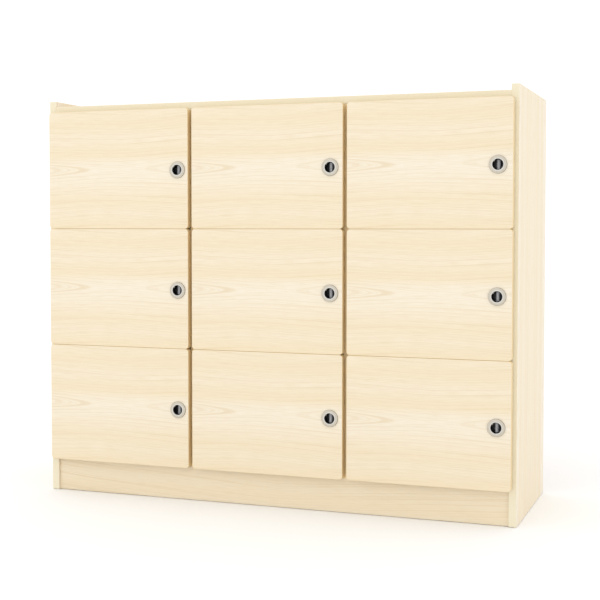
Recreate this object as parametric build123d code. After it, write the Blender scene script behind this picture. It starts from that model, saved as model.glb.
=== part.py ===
from build123d import *
import os

# Coin operated locker: a free-standing cabinet of laminated board with three columns and
# three rows of compartments. Each compartment has an overlay door on two concealed hinges
# and a coin lock whose plug drives a sliding bolt into the wall beside it.
#
# Millimetres, +Z up, +X to the right, the doors face -Y. While the pieces are made, y = 0 is
# the plane of the carcass front edges; export() then moves them so that the origin is the
# centre of the whole cabinet's footprint, on the floor.

# ---- overall sizes -------------------------------------------------------------------
cabinet_width = 1200.0
cabinet_height = 1000.0
carcass_depth = 400.0
column_count = 3
row_count = 3

# ---- boards --------------------------------------------------------------------------
board = 18.0                    # thickness of every carcass board
back_thickness = 5.0
back_rebate = 9.0               # how far the back reaches into each side panel
top_drop = 13.5                 # side panels stand this far above the top panel
floor_deck = 84.0               # top face of the bottom panel above the floor
plinth_setback = 7.0
shelf_setback = 20.0
shelf_rear_clearance = 1.0
board_edge_radius = 1.0

# ---- doors ---------------------------------------------------------------------------
door_thickness = 18.0
door_standoff = 2.0             # air between a door's back and the carcass front edges
side_overlay = 8.5              # how far an outer door laps over a side panel's edge
column_gap = 10.0
row_gap = 0.4
door_foot_clearance = 0.5       # door's lower edge above the bottom panel's top face
top_overlay = 2.5               # how far the top doors lap over the top panel's edge
door_corner_radius = 8.0
door_edge_radius = 0.8

# ---- hinges --------------------------------------------------------------------------
hinge_end_distance = 60.0       # hinge centre from the door's lower and upper edge
pivot_inset = 6.0               # pivot from the door's hinge-side edge
pivot_depth = 7.2               # pivot behind the door's front face
cup_radius = 17.5
cup_edge_distance = 2.0
cup_floor_below_pivot = 2.1
cup_sheet = 0.8
cup_bore_clearance = 0.05
wing_length = 54.0
wing_width = 12.0
wing_sheet = 1.0
wing_screw_pitch = 42.0
wing_screw_hole_radius = 2.0
pin_radius = 1.0
pin_clearance = 0.05
knuckle_radius = 1.9
knuckle_half_length = 5.0
lug_gap = 0.3
lug_thickness = 2.7
lug_reach = 2.6
neck_thickness = 2.0
neck_clearance = 1.2            # gooseneck to the back of the open door
arm_width = 12.0
arm_height = 9.0
arm_sheet = 1.5
arm_start = 3.0
arm_end = 62.0
plate_start = 24.0
plate_end = 60.0
plate_width = 16.0
plate_wing_thickness = 2.5
plate_wing_length = 50.0
plate_wing_width = 14.0
plate_screw_line = 37.0         # screw line behind the carcass front edge
plate_screw_pitch = 32.0
screw_shank_radius = 2.5
screw_bore_clearance = 0.05
screw_depth = 12.0
screw_head_radius = 4.5
screw_head_height = 2.0
screw_recess_radius = 1.6

# ---- locks ---------------------------------------------------------------------------
lock_backset = 25.5             # lock axis to the face of the wall that takes the bolt
lock_drop = 3.5                 # lock axis below the door's middle
rosette_radius = 20.5
rosette_height = 3.5
rosette_edge_radius = 1.2
rosette_lip = 0.4
rosette_lip_width = 2.2
sleeve_wall = 1.8
sleeve_bore_clearance = 0.2
lock_bore_radius = 12.5
index_tab = 2.0
index_tab_depth = 2.0
plug_clearance = 0.08
plug_face_depth = 16.5          # plug face behind the rosette's front face
plug_disc_gap = 0.3
grip_width = 9.6
grip_height = 7.0
grip_end_clearance = 0.2
spindle_radius = 6.0
spindle_clearance = 0.06
case_left = 43.0                # case walls, measured from the lock axis
case_below = 60.0
case_above = 36.0
case_depth = 20.0
case_wall = 2.0
case_corner_radius = 3.0
cover_thickness = 2.0
bolt_throw = 15.0
bolt_half_height = 8.0
bolt_stop_clearance = 1.5       # thrown bolt's tall plate to the case wall
bolt_tip_recess = 0.5
bolt_front = 9.0                # bolt's front side behind the door's back face
bolt_head_thickness = 8.0
bolt_plate_thickness = 3.0
bolt_plate_margin = 3.3         # metal round the cam slot
bolt_clearance = 0.2
cam_margin = 0.9                # disc metal outside the cam pin
cam_start = 5.0
cam_thickness = 3.0
cam_pin_radius = 1.5
cam_slot_width = 4.2
cam_pin_length = 4.2
guide_thickness = 2.85
guide_clearance = 0.15
guide_right = 15.0
coin_diameter = 24.0
coin_slot_height = 2.8
coin_slot_above = 24.0
coin_return_width = 28.0
coin_return_gap = 3.5
chute_left = 41.0
chute_wall = 1.0
chute_depth = 5.9
chute_below = 50.0
chute_above = 30.0
strike_thickness = 1.5
strike_half_height = 28.0
strike_front = 1.5
strike_rear = 22.0
strike_clearance = 1.0
strike_screw_offset = 20.0
strike_screw_hole_radius = 2.0
mortise_spare = 2.5             # mortise beyond the tip of the thrown bolt

# ---- joinery and feet ----------------------------------------------------------------
dowel_radius = 4.0
dowel_length = 30.0
dowel_chamfer = 1.0
dowel_clearance = 0.05
dowel_end_clearance = 0.5
dowel_into_face = 12.0
end_dowel_lines = (60.0, 200.0, 350.0)
shelf_left_dowel_lines = (70.0, 330.0)
shelf_right_dowel_lines = (110.0, 290.0)
divider_dowel_lines = (90.0, 300.0)
plinth_dowel_heights = (24.0, 50.0)
glide_height = 1.0
glide_radius = 8.0
glide_end_distance = 45.0
glide_spread = 300.0

# ---- worked-out places ---------------------------------------------------------------
half_width = cabinet_width / 2
side_reveal = board - side_overlay
inner_left = -half_width + board
inner_right = half_width - board
back_face = carcass_depth - back_thickness
top_panel_top = cabinet_height - top_drop
top_panel_under = top_panel_top - board
deck_under = floor_deck - board
compartment_width = (inner_right - inner_left - (column_count - 1) * board) / column_count
column_pitch = compartment_width + board
door_width = (cabinet_width - 2 * side_reveal - (column_count - 1) * column_gap) / column_count
door_foot = floor_deck + door_foot_clearance
door_stack = top_panel_under + top_overlay - door_foot
door_height = (door_stack - (row_count - 1) * row_gap) / row_count
door_back = -door_standoff
door_front = door_back - door_thickness
rosette_front = door_front - rosette_height
frame_shift = -(carcass_depth + rosette_front) / 2
pivot_y = door_front + pivot_depth
neck_reach = door_thickness - pivot_depth + neck_clearance + neck_thickness
cam_reach = bolt_throw / 2 ** 0.5
cam_radius = cam_reach + cam_pin_radius + cam_margin
bolt_plate_top = cam_reach + cam_slot_width / 2 + bolt_plate_margin
bolt_plate_left = bolt_throw / 2 + cam_slot_width / 2 + bolt_plate_margin
case_right = bolt_throw + case_wall             # so the cam and the bolt clear the wall
bolt_tip = case_right - bolt_tip_recess
bolt_head_start = case_right - case_wall - bolt_stop_clearance - bolt_throw
mortise_depth = bolt_tip + bolt_throw - lock_backset + mortise_spare
columns = range(column_count)
rows = range(row_count)


def left_wall(column):
    """Inner face of the wall at a compartment's left."""
    return inner_left + column * column_pitch


def right_wall(column):
    return left_wall(column) + compartment_width


def door_left(column):
    return -half_width + side_reveal + column * (door_width + column_gap)


def door_bottom(row):
    """Rows are counted from the top."""
    return door_foot + (row_count - 1 - row) * (door_height + row_gap)


def hinge_heights(row):
    low = door_bottom(row) + hinge_end_distance
    high = door_bottom(row) + door_height - hinge_end_distance
    return low, high


def pivot_x(column):
    return door_left(column) + pivot_inset


def lock_x(column):
    return right_wall(column) - lock_backset


def lock_z(row):
    return door_bottom(row) + door_height / 2 - lock_drop


def shelf_z(level):
    """Middle of the shelf behind the gap under door row number level."""
    return door_bottom(level) - row_gap / 2


# ---- small shape helpers -------------------------------------------------------------
def block(x0, x1, y0, y1, z0, z1):
    middle = Pos((x0 + x1) / 2, (y0 + y1) / 2, (z0 + z1) / 2)
    return middle * Box(x1 - x0, y1 - y0, z1 - z0)


def rod_x(radius, x0, x1, y, z):
    return Pos((x0 + x1) / 2, y, z) * Rot(0, 90, 0) * Cylinder(radius, x1 - x0)


def rod_y(radius, x, y0, y1, z):
    return Pos(x, (y0 + y1) / 2, z) * Rot(90, 0, 0) * Cylinder(radius, y1 - y0)


def rod_z(radius, x, y, z0, z1):
    return Pos(x, y, (z0 + z1) / 2) * Cylinder(radius, z1 - z0)


def softened(board_solid, radius=board_edge_radius):
    """Break the front edges of a board, as its edge banding does."""
    front = board_solid.faces().sort_by(Axis.Y)[0]
    return fillet(front.edges(), radius)


def export(name, solids):
    """Write one node: a single solid or a group of separate ones."""
    moved = [solid.moved(Location((0, frame_shift, 0))) for solid in solids]
    node = moved[0] if len(moved) == 1 else Compound(children=moved)
    export_step(node, f"parts/{name}.step")


# ---- dowels: each is an axis letter, the joint plane on that axis, the direction of the
# ---- face board from that plane (+1 or -1), and the two other coordinates -------------
def dowel_places():
    places = []
    for y in end_dowel_lines:
        for z in (top_panel_under + board / 2, deck_under + board / 2):
            places.append(("x", inner_left, -1, y, z))
            places.append(("x", inner_right, 1, y, z))
    for level in range(row_count - 1):
        for column in columns:
            for y in shelf_left_dowel_lines:
                places.append(("x", left_wall(column), -1, y, shelf_z(level)))
            for y in shelf_right_dowel_lines:
                places.append(("x", right_wall(column), 1, y, shelf_z(level)))
    for column in list(columns)[1:]:
        middle = left_wall(column) - board / 2
        for y in divider_dowel_lines:
            places.append(("z", floor_deck, -1, middle, y))
            places.append(("z", top_panel_under, 1, middle, y))
    for y in (plinth_setback + board / 2, back_face - board / 2):
        for z in plinth_dowel_heights:
            places.append(("x", inner_left, -1, y, z))
            places.append(("x", inner_right, 1, y, z))
    return places


def dowel_rod(place, radius, spare):
    axis, plane, toward, a, b = place
    into_face = plane + toward * (dowel_into_face + spare)
    into_end = plane - toward * (dowel_length - dowel_into_face + spare)
    low, high = sorted((into_face, into_end))
    return rod_x(radius, low, high, a, b) if axis == "x" else rod_z(radius, a, b, low, high)


def dowel(place):
    rod = dowel_rod(place, dowel_radius, 0)
    ends = rod.edges().filter_by(GeomType.CIRCLE)
    return chamfer(ends, dowel_chamfer)


dowels = dowel_places()
dowel_bores = [dowel_rod(p, dowel_radius + dowel_clearance, dowel_end_clearance) for p in dowels]


def bored(board_solid, extra_cuts=()):
    """Take away the dowel bores and any other cuts that reach into this board."""
    box = board_solid.bounding_box()
    for tool in [*dowel_bores, *extra_cuts]:
        reach = tool.bounding_box()
        apart = (reach.min.X >= box.max.X or reach.max.X <= box.min.X
                 or reach.min.Y >= box.max.Y or reach.max.Y <= box.min.Y
                 or reach.min.Z >= box.max.Z or reach.max.Z <= box.min.Z)
        if not apart:
            board_solid = board_solid - tool
    return board_solid


# ---- cuts in the upright boards for hinge screws, strike plates and bolts -------------
def screw_places():
    half = plate_screw_pitch / 2
    return [(column, z + offset) for column in columns for row in rows
            for z in hinge_heights(row) for offset in (-half, half)]


def screw_bore(column, z):
    wall = left_wall(column)
    depth = screw_depth + dowel_end_clearance
    return rod_x(screw_shank_radius + screw_bore_clearance, wall - depth, wall, plate_screw_line, z)


def bolt_window(x0, x1, z, clearance):
    front = door_back + bolt_front
    return block(x0, x1, front - clearance, front + bolt_head_thickness + clearance,
                 z - bolt_half_height - clearance, z + bolt_half_height + clearance)


def strike_seat(column, row):
    wall = right_wall(column)
    z = lock_z(row)
    seat = block(wall, wall + strike_thickness, strike_front, strike_rear,
                 z - strike_half_height, z + strike_half_height)
    return seat + bolt_window(wall, wall + mortise_depth, z, strike_clearance)


wall_cuts = [screw_bore(column, z) for column, z in screw_places()]
wall_cuts += [strike_seat(column, row) for column in columns for row in rows]


# ---- carcass -------------------------------------------------------------------------
def side_panel(side):
    outer = side * half_width
    inner = outer - side * board
    x0, x1 = sorted((outer, inner))
    panel = softened(block(x0, x1, 0, carcass_depth, glide_height, cabinet_height))
    r0, r1 = sorted((inner, inner + side * back_rebate))
    rebate = block(r0, r1, back_face, carcass_depth, deck_under, top_panel_top)
    return bored(panel - rebate, wall_cuts)


def divider(column):
    """The upright board at the left of a column."""
    wall = left_wall(column)
    panel = softened(block(wall - board, wall, 0, back_face, floor_deck, top_panel_under))
    return bored(panel, wall_cuts)


def shelf(level, column):
    z = shelf_z(level)
    rear = back_face - shelf_rear_clearance
    return bored(softened(block(left_wall(column), right_wall(column), shelf_setback, rear,
                                z - board / 2, z + board / 2)))


def carcass():
    export("side_panel_left", [side_panel(-1)])
    export("side_panel_right", [side_panel(1)])
    top = block(inner_left, inner_right, 0, back_face, top_panel_under, top_panel_top)
    export("top_panel", [bored(softened(top))])
    plinth_rear_face = plinth_setback + board
    bottom = block(inner_left, inner_right, plinth_rear_face, back_face, deck_under, floor_deck)
    export("bottom_panel", [bored(bottom)])
    export("divider_left", [divider(1)])
    export("divider_right", [divider(2)])
    export("shelves", [shelf(level, column) for level in range(row_count - 1) for column in columns])
    reach = inner_right + back_rebate
    export("back_panel", [block(-reach, reach, back_face, carcass_depth, deck_under, top_panel_top)])
    front = block(inner_left, inner_right, plinth_setback, plinth_rear_face, glide_height, floor_deck)
    rear = block(inner_left, inner_right, back_face - board, back_face, glide_height, deck_under)
    export("plinth_boards", [bored(softened(front)), bored(rear)])
    export("joint_dowels", [dowel(place) for place in dowels])


def floor_glides():
    side_x = half_width - board / 2
    places = [(x, y) for x in (-side_x, side_x)
              for y in (glide_end_distance, carcass_depth - glide_end_distance)]
    places += [(x, y) for x in (-glide_spread, 0, glide_spread)
               for y in (plinth_setback + board / 2, back_face - board / 2)]
    discs = [rod_z(glide_radius, x, y, 0, glide_height) for x, y in places]
    export("floor_glides", discs)


# ---- hinges --------------------------------------------------------------------------
def hinge_arm(column, z):
    """Gooseneck arm: a knuckle round the pin, a neck out of the cup, a channel to the plate."""
    px = pivot_x(column)
    inner = neck_reach - neck_thickness
    neck_rear = arm_start - pivot_y + arm_sheet
    profile = Pos(px, pivot_y) * (
        Circle(knuckle_radius)
        + Pos(neck_reach / 2, -knuckle_radius / 2) * Rectangle(neck_reach, knuckle_radius)
        + Pos(inner + neck_thickness / 2, (neck_rear - knuckle_radius) / 2)
        * Rectangle(neck_thickness, neck_rear + knuckle_radius))
    neck = Pos(0, 0, z - knuckle_half_length) * extrude(profile, knuckle_half_length * 2)
    web = px + neck_reach
    half = arm_width / 2
    channel = block(web - arm_height, web, arm_start, arm_end, z - half, z + half)
    hollow = block(web - arm_height, web - arm_sheet, arm_start + arm_sheet, arm_end - arm_sheet,
                   z - half + arm_sheet, z + half - arm_sheet)
    bore = rod_z(pin_radius + pin_clearance, px, pivot_y, z - half, z + half)
    return neck + (channel - hollow) - bore


def hinge_plate(column, z):
    """Mounting plate: its block is as thick as that column's door overlay leaves."""
    wall = left_wall(column)
    seat = pivot_x(column) + neck_reach - arm_height
    base = block(wall, seat, plate_start, plate_end, z - plate_width / 2, z + plate_width / 2)
    half = plate_wing_width / 2
    wing = block(wall, wall + plate_wing_thickness, plate_screw_line - half, plate_screw_line + half,
                 z - plate_wing_length / 2, z + plate_wing_length / 2)
    radius = screw_shank_radius + screw_bore_clearance
    holes = [rod_x(radius, wall, wall + plate_wing_thickness, plate_screw_line, z + offset)
             for offset in (-plate_screw_pitch / 2, plate_screw_pitch / 2)]
    return base + wing - holes


def plate_screw(column, z):
    seat = left_wall(column) + plate_wing_thickness
    shank = rod_x(screw_shank_radius, left_wall(column) - screw_depth, seat, plate_screw_line, z)
    head = rod_x(screw_head_radius, seat, seat + screw_head_height, plate_screw_line, z)
    recess = rod_x(screw_recess_radius, seat + screw_head_height / 2, seat + screw_head_height,
                   plate_screw_line, z)
    return shank + head - recess


def hinges():
    places = [(column, z) for column in columns for row in rows for z in hinge_heights(row)]
    export("hinge_arms", [hinge_arm(column, z) for column, z in places])
    export("hinge_plates", [hinge_plate(column, z) for column, z in places])
    export("plate_screws", [plate_screw(column, z) for column, z in screw_places()])


def cup_centre(column):
    return door_left(column) + cup_edge_distance + cup_radius


def hinge_cup(column, z):
    """Pressed cup with two screw wings and the two lugs that carry the pivot pin."""
    x = cup_centre(column)
    px = pivot_x(column)
    floor = pivot_y - cup_floor_below_pivot
    body = rod_y(cup_radius, x, floor - cup_sheet, door_back, z)
    half_straight = (wing_length - wing_width) / 2
    wing = block(x - wing_width / 2, x + wing_width / 2, door_back, door_back + wing_sheet,
                 z - half_straight, z + half_straight)
    for end in (-half_straight, half_straight):
        wing += rod_y(wing_width / 2, x, door_back, door_back + wing_sheet, z + end)
    pocket = rod_y(cup_radius - cup_sheet, x, floor, door_back + wing_sheet, z)
    cup = body + wing - pocket
    first = knuckle_half_length + lug_gap
    for side in (-1, 1):
        z0, z1 = sorted((z + side * first, z + side * (first + lug_thickness)))
        lug = block(px - lug_reach, px + lug_reach, floor, pivot_y + knuckle_radius, z0, z1)
        cup += lug & rod_y(cup_radius - cup_sheet / 2, x, floor, door_back, z)
    cup -= rod_z(pin_radius, px, pivot_y, z - first - lug_thickness, z + first + lug_thickness)
    for side in (-1, 1):
        cup -= rod_y(wing_screw_hole_radius, x, door_back, door_back + wing_sheet,
                     z + side * wing_screw_pitch / 2)
    return cup


def hinge_pin(column, z):
    half = knuckle_half_length + lug_gap + lug_thickness
    return rod_z(pin_radius, pivot_x(column), pivot_y, z - half, z + half)


def cup_bore(column, z):
    floor = pivot_y - cup_floor_below_pivot - cup_sheet - cup_bore_clearance
    return rod_y(cup_radius + cup_bore_clearance, cup_centre(column), floor, door_back, z)


# ---- doors ---------------------------------------------------------------------------
def door_panel(row, column):
    x0 = door_left(column)
    z0 = door_bottom(row)
    panel = block(x0, x0 + door_width, door_front, door_back, z0, z0 + door_height)
    panel = fillet(panel.edges().filter_by(Axis.Y), door_corner_radius)
    front = panel.faces().sort_by(Axis.Y)[0]
    panel = fillet(front.edges(), door_edge_radius)
    back = panel.faces().sort_by(Axis.Y)[-1]
    panel = fillet(back.edges(), board_edge_radius)
    sleeve = lock_bore_radius + sleeve_wall + sleeve_bore_clearance
    panel -= rod_y(sleeve, lock_x(column), door_front, door_back, lock_z(row))
    for z in hinge_heights(row):
        panel -= cup_bore(column, z)
    return panel


# ---- coin lock, made round its own axis at x = 0, z = 0 -------------------------------
def rosette():
    """Turned ring with a raised inner lip, and the sleeve that runs through the door."""
    front = rosette_front
    ring = rod_y(rosette_radius, 0, front, door_front, 0)
    rim = ring.faces().sort_by(Axis.Y)[0].edges()
    ring = fillet(rim, rosette_edge_radius)
    lip_radius = lock_bore_radius + rosette_lip_width
    recess = rod_y(rosette_radius - rosette_edge_radius, 0, front, front + rosette_lip, 0)
    ring -= recess - rod_y(lip_radius, 0, front, front + rosette_lip, 0)
    ring += rod_y(lock_bore_radius + sleeve_wall, 0, door_front, door_back, 0)
    ring -= rod_y(lock_bore_radius, 0, front, door_back, 0)
    tab = block(-lock_bore_radius - sleeve_wall / 2, -lock_bore_radius + index_tab,
                front + rosette_lip, front + rosette_lip + index_tab_depth, -index_tab, index_tab)
    return ring + Rot(0, 45, 0) * tab


def lock_case():
    """Box behind the door, open at the back, with the bolt window and coin return slot."""
    rear = door_back + case_depth - cover_thickness
    case = block(-case_left, case_right, door_back, rear, -case_below, case_above)
    case = fillet(case.edges().filter_by(Axis.Y), case_corner_radius)
    case -= block(-case_left + case_wall, case_right - case_wall, door_back + case_wall, rear,
                  -case_below + case_wall, case_above - case_wall)
    case -= rod_y(spindle_radius + spindle_clearance, 0, door_back, door_back + case_wall, 0)
    case -= bolt_window(case_right - case_wall, case_right, 0, bolt_clearance)
    middle = -chute_left + chute_wall + coin_diameter / 2
    case -= block(middle - coin_return_width / 2 + case_wall, middle + coin_return_width / 2,
                  rear - chute_depth + chute_wall, rear - chute_depth + chute_wall + coin_return_gap,
                  -case_below, -case_below + case_wall)
    return case


def lock_cover():
    """Lid of the case, with the coin slot and the two ribs that guide the bolt."""
    front = door_back + case_depth - cover_thickness
    cover = block(-case_left, case_right, front, front + cover_thickness, -case_below, case_above)
    cover = fillet(cover.edges().filter_by(Axis.Y), case_corner_radius)
    slot_left = -chute_left + chute_wall
    cover -= block(slot_left, slot_left + coin_diameter, front, front + cover_thickness,
                   coin_slot_above, coin_slot_above + coin_slot_height)
    low = -bolt_half_height - guide_clearance
    high = bolt_plate_top + guide_clearance
    bolt_side = door_back + bolt_front + bolt_clearance
    for z0, z1 in ((low - guide_thickness, low), (high, high + guide_thickness)):
        cover += block(-chute_left + chute_wall * 2 + coin_diameter + guide_clearance,
                       guide_right, bolt_side, front, z0, z1)
    return cover


def coin_chute():
    """Channel that takes the coin from the slot down to the return opening."""
    rear = door_back + case_depth - cover_thickness
    right = -chute_left + coin_diameter + 2 * chute_wall
    chute = block(-chute_left, right, rear - chute_depth, rear, -chute_below, chute_above)
    chute -= block(-chute_left + chute_wall, right - chute_wall, rear - chute_depth + chute_wall,
                   rear, -chute_below, chute_above)
    return chute


def lock_plug():
    """Turning plug: recessed face with a half-round grip, spindle, cam disc and cam pin."""
    radius = lock_bore_radius - plug_clearance
    face = rosette_front + plug_face_depth
    disc_rear = door_back - plug_disc_gap
    plug = rod_y(radius, 0, face, disc_rear, 0)
    half = grip_width / 2
    crest = face - grip_height
    grip = block(-half, half, crest + half, face, -radius, radius)
    grip += rod_z(half, 0, crest + half, -radius, radius)
    plug += grip & rod_y(radius - grip_end_clearance, 0, crest, face, 0)
    cam_rear = door_back + cam_start + cam_thickness
    plug += rod_y(spindle_radius, 0, disc_rear, cam_rear, 0)
    plug += rod_y(cam_radius, 0, door_back + cam_start, cam_rear, 0)
    plug += rod_y(cam_pin_radius, -bolt_throw / 2, cam_rear, cam_rear + cam_pin_length, bolt_throw / 2)
    return plug


def lock_bolt():
    """Sliding bolt, drawn back: a square head and a plate whose slot rides on the cam pin."""
    front = door_back + bolt_front
    head = block(bolt_head_start, bolt_tip, front, front + bolt_head_thickness,
                 -bolt_half_height, bolt_half_height)
    plate = block(-bolt_plate_left, bolt_head_start, front, front + bolt_plate_thickness,
                  -bolt_half_height, bolt_plate_top)
    half = cam_slot_width / 2
    slot = block(-bolt_throw / 2 - half, -bolt_throw / 2 + half, front, front + bolt_plate_thickness,
                 bolt_throw / 2 - half, cam_reach + half)
    return head + plate - slot


def strike_plate(column, row):
    wall = right_wall(column)
    z = lock_z(row)
    plate = block(wall, wall + strike_thickness, strike_front, strike_rear,
                  z - strike_half_height, z + strike_half_height)
    plate -= bolt_window(wall, wall + strike_thickness, z, strike_clearance)
    middle = (strike_front + strike_rear) / 2
    for side in (-1, 1):
        plate -= rod_x(strike_screw_hole_radius, wall, wall + strike_thickness, middle,
                       z + side * strike_screw_offset)
    return plate


def doors_and_locks():
    fixed = [rosette(), lock_case(), lock_cover(), coin_chute()]
    plug = lock_plug()
    bolt = lock_bolt()
    for row in rows:
        for column in columns:
            tag = f"r{row + 1}c{column + 1}"
            place = Location((lock_x(column), 0, lock_z(row)))
            export(f"door_panel_{tag}", [door_panel(row, column)])
            cups = [hinge_cup(column, z) for z in hinge_heights(row)]
            pins = [hinge_pin(column, z) for z in hinge_heights(row)]
            export(f"hinge_cups_{tag}", cups + pins)
            export(f"coin_lock_{tag}", [solid.moved(place) for solid in fixed])
            export(f"lock_plug_{tag}", [plug.moved(place)])
            export(f"lock_bolt_{tag}", [bolt.moved(place)])
    export("strike_plates", [strike_plate(column, row) for column in columns for row in rows])


os.makedirs("parts", exist_ok=True)
carcass()
floor_glides()
hinges()
doors_and_locks()
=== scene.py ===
"""Doors, coin locks, fittings and board finishes of a nine door coin operated locker."""

import math
from collections import namedtuple

import bmesh
import bpy
from bpy.props import FloatProperty, FloatVectorProperty, IntProperty, PointerProperty
from mathutils import Matrix, Vector


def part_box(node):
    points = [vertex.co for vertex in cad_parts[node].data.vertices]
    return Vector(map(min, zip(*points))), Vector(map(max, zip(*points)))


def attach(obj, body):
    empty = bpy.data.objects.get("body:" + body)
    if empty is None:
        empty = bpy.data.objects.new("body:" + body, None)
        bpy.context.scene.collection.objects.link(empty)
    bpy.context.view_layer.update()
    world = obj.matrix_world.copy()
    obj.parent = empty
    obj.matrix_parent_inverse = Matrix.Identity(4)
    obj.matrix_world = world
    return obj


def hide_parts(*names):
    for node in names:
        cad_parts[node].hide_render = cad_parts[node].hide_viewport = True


bl_info = {
    "name": "Coin operated locker",
    "version": (1, 0, 0),
    "blender": (4, 5, 0),
    "location": "View3D > Sidebar > Locker",
    "description": "Makes the looks of a locker cabinet round its packed frame",
    "category": "Object",
}

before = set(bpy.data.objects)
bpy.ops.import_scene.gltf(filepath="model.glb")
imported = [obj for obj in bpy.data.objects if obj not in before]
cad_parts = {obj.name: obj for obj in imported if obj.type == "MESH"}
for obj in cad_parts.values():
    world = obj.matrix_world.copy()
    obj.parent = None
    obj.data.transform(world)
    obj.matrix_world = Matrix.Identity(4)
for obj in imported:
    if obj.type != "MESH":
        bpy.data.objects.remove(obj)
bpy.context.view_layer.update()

MM = 0.001
SQUARE_ON = 0.6     # a face whose normal is past this on an axis is taken to face that way
POLE = 0.001        # a radius in millimetres that stands for the axis, which finished() closes
DoorPlace = namedtuple("DoorPlace", "tag low high face axis cups")


def linear(code):
    """The linear colour of an sRGB hex code."""
    parts = [int(code[i:i + 2], 16) / 255 for i in (0, 2, 4)]
    return tuple(p / 12.92 if p <= 0.04045 else ((p + 0.055) / 1.055) ** 2.4 for p in parts) + (1.0,)


def darker(colour, share):
    """A linear colour with this share of its light."""
    return [share * c for c in colour[:3]] + [1.0]


def colour_property(name, description, code):
    return FloatVectorProperty(name=name, description=description, subtype="COLOR", size=4,
                               min=0.0, max=1.0, default=linear(code))


def length_property(name, description, millimetres):
    return FloatProperty(name=name, description=description, default=millimetres * MM,
                         min=0.0, subtype="DISTANCE", unit="LENGTH")


# ---- places that come from the frame -------------------------------------------------
def door_place(row, column):
    """A door's tag and corners, the axis of its lock at its front and back, and its hinge cups."""
    tag = f"r{row}c{column}"
    low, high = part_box(f"door_panel_{tag}")
    plug_low, plug_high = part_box(f"lock_plug_{tag}")
    lock = (plug_low + plug_high) / 2
    cup_low, cup_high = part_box(f"hinge_cups_{tag}")
    half_wing = 27 * MM
    cups = [Vector(((cup_low.x + cup_high.x) / 2, high.y, z))
            for z in (cup_low.z + half_wing, cup_high.z - half_wing)]
    return DoorPlace(tag, low, high, Vector((lock.x, low.y, lock.z)), Vector((lock.x, high.y, lock.z)), cups)


DOORS = [door_place(row, column) for row in (1, 2, 3) for column in (1, 2, 3)]


# ---- sizes and colours that a user would change ----------------------------------------
class LockerSizes(bpy.types.PropertyGroup):
    corner_radius: length_property("Corner radius", "Rounding of a door's four corners", 8)
    front_round: length_property("Front round", "Rounding of a door's front rim", 0.8)
    back_round: length_property("Back round", "Rounding of a door's back rim", 1)
    lock_bore: length_property("Lock bore", "Radius of the hole for the lock's sleeve", 14.5)
    cup_bore: length_property("Cup bore", "Radius of the hole for a hinge cup", 17.55)
    cup_depth: length_property("Cup depth", "Depth of the hole for a hinge cup", 13.7)
    lock_backset: length_property("Lock backset", "From a lock's axis to the wall its bolt enters", 25.5)
    decor_repeat: length_property("Decor repeat", "Half the width of the printed grain's repeat", 187)
    turned_segments: IntProperty(name="Turned segments", description="Flats round a turned piece",
                                 default=72, min=16, max=256)


class LockerColours(bpy.types.PropertyGroup):
    pale_grain: colour_property("Pale grain", "Lightest tone of the maple print", "F0E6D3")
    honey_grain: colour_property("Honey grain", "Warmest tone of the maple print", "EDDDBE")
    grain_line: colour_property("Grain line", "Growth lines of the maple print", "D9C195")
    edging: colour_property("Edging", "Edge banding of the carcass boards", "EFE5C9")
    door_edging: colour_property("Door edging", "Edge banding of the doors", "ECD4A6")
    core: colour_property("Core", "Chipboard where a board is cut", "B98F58")
    ring_metal: colour_property("Ring metal", "Satin plate of the lock's ring", "E0DDD6")
    grip_metal: colour_property("Grip metal", "Satin plate of the lock's grip", "B4B4B6")
    moulding: colour_property("Moulding", "Black moulded parts of the lock", "0C0C0D")
    case: colour_property("Case", "Moulded case behind the door", "4B4D50")
    steel: colour_property("Steel", "Plated steel of hinges and screws", "B9B7B0")


# ---- node and mesh helpers ------------------------------------------------------------
def feed(tree, node, inputs):
    """Give a node's inputs, by name or index, values or the sockets they come from."""
    for key, value in inputs.items():
        if isinstance(value, bpy.types.NodeSocket):
            tree.links.new(value, node.inputs[key])
        else:
            node.inputs[key].default_value = value


def add(tree, kind, inputs=None, **settings):
    """Add one node with its settings and its inputs."""
    node = tree.nodes.new(kind)
    for key, value in settings.items():
        setattr(node, key, value)
    feed(tree, node, inputs or {})
    return node


def new_material(name):
    made = bpy.data.materials.new(name)
    made.use_nodes = True
    return made, made.node_tree, made.node_tree.nodes["Principled BSDF"]


def settled(carrier):
    """The plain mesh that a carrier object's modifiers make. The carrier is removed."""
    bpy.context.view_layer.update()
    evaluated = carrier.evaluated_get(bpy.context.evaluated_depsgraph_get())
    mesh = bpy.data.meshes.new_from_object(evaluated)
    bpy.data.objects.remove(carrier)
    return mesh


def carrier_of(mesh):
    carrier = bpy.data.objects.new("carrier", mesh)
    bpy.context.scene.collection.objects.link(carrier)
    return carrier


def grown(tree, values, points=None):
    """Run a geometry tree with these named inputs, on points if it needs any."""
    carrier = carrier_of(points or bpy.data.meshes.new("start"))
    change = carrier.modifiers.new("tree", "NODES")
    change.node_group = tree
    for item in tree.interface.items_tree:
        if item.in_out == "INPUT" and item.name in values:
            change[item.identifier] = values[item.name]
    return settled(carrier)


def carved(mesh, cutters):
    """A mesh less its cutters."""
    carrier = carrier_of(mesh)
    tools = [carrier_of(cutter) for cutter in cutters]
    for tool in tools:
        change = carrier.modifiers.new("cut", "BOOLEAN")
        change.operation = "DIFFERENCE"
        change.solver = "EXACT"
        change.object = tool
    made = settled(carrier)
    for tool in tools:
        bpy.data.objects.remove(tool)
    return made


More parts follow.
